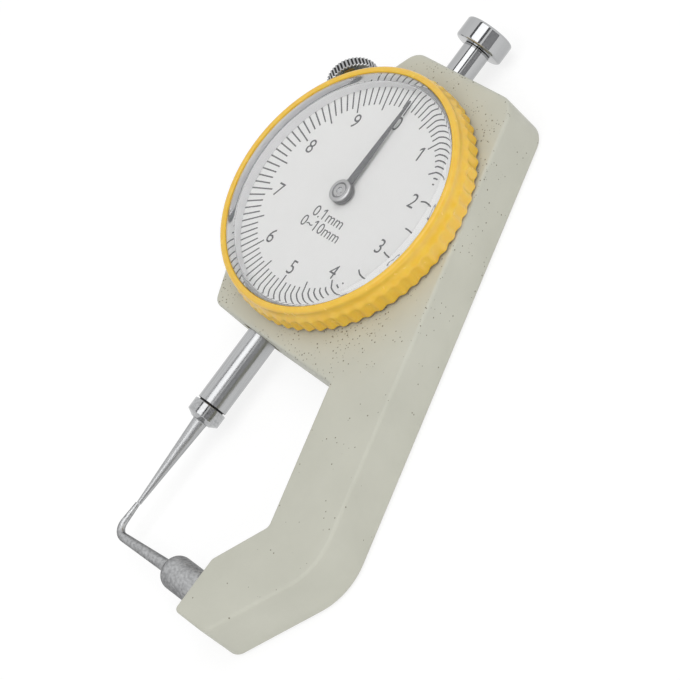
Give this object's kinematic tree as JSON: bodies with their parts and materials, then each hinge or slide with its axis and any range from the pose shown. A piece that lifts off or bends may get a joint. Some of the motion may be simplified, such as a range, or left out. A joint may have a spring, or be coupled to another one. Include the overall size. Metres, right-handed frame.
{
  "type": "dial thickness caliper",
  "caption": "Handheld dial thickness caliper: C-shaped cast frame, rack spindle with tapered point, hooked anvil, fluted bezel, clear crystal and knurled clamp screw.",
  "frame": {"origin": "on the flat back of the frame, straight below the centre of the dial", "axes": "+Y along the spindle towards the thumb cap, +X towards the arm, +Z out of the dial"},
  "size_m": [0.061, 0.0962, 0.0144],
  "materials": {
    "frame_paint": "beige-grey paint on a die casting, semi-gloss, finely speckled",
    "bezel_yellow": "glossy moulded plastic",
    "crystal_clear": "clear polished acrylic",
    "dial_white": "satin white with printed graduations",
    "chrome": "polished chrome plating",
    "point_steel": "ground and polished steel",
    "anvil_steel": "satin nickel-plated steel",
    "steel": "turned steel",
    "blued_steel": "blued spring steel",
    "brass": "turned brass",
    "pointer_paint": "dark grey satin lacquer",
    "nylon": "natural nylon"
  },
  "bodies": {
    "frame": {"frame": "frame_paint", "lower_bush": "brass", "upper_bush": "brass", "anvil": "anvil_steel", "anvil_set_screw": "steel", "guide_plate": "brass", "guide_plate_screw": "steel", "spring_anchor_post": "steel", "return_spring": "steel", "rear_pivot_bush": "brass", "bridge_plate": "brass", "bridge_pillar_1": "brass", "bridge_pillar_2": "brass", "bridge_pillar_3": "brass", "bridge_screw_1": "steel", "bridge_screw_2": "steel", "bridge_screw_3": "steel", "hairspring_stud": "brass", "hairspring": "blued_steel", "bezel_retaining_ring": "steel"},
    "spindle": {"spindle": "chrome", "lift_rod": "chrome", "thumb_cap": "chrome", "contact_point": "point_steel", "guide_pin": "steel"},
    "pointer": {"centre_pinion": "steel", "hairspring_collet": "brass", "pointer_hub": "steel", "pointer_hand": "pointer_paint"},
    "bezel": {"bezel_ring": "bezel_yellow", "dial_plate": "dial_white", "crystal": "crystal_clear"},
    "clamp_pad": {"clamp_pad": "nylon"},
    "clamp_screw": {"clamp_screw": "chrome"}
  },
  "joints": [
    {"name": "spindle_lift", "type": "slide", "parent": "frame", "child": "spindle", "axis": [0, 1, 0], "range_m": [0, 0.01], "stiffness_N_per_m": 60, "springref_m": -0.012, "deforming": ["return_spring"]},
    {"name": "pointer_turn", "type": "hinge", "parent": "frame", "child": "pointer", "pos_m": [0, 0, 0], "axis": [0, 0, 1], "range_deg": [-361, 1], "deforming": ["hairspring"]},
    {"name": "bezel_turn", "type": "hinge", "parent": "frame", "child": "bezel", "pos_m": [0, 0, 0], "axis": [0, 0, 1], "continuous": true},
    {"name": "clamp_advance", "type": "slide", "parent": "frame", "child": "clamp_pad", "axis": [0.8788, -0.4772, 0], "range_m": [-0.0005, 0.00025]},
    {"name": "clamp_turn", "type": "hinge", "parent": "clamp_pad", "child": "clamp_screw", "pos_m": [-0.01551, 0.01376, 0.00435], "axis": [0.8788, -0.4772, 0], "range_deg": [-361, 181]}
  ],
  "couplings": [
    {"joint": "pointer_turn", "follows": "spindle_lift", "rad_per_m": -628.32},
    {"joint": "clamp_turn", "follows": "clamp_advance", "rad_per_m": 12566}
  ]
}
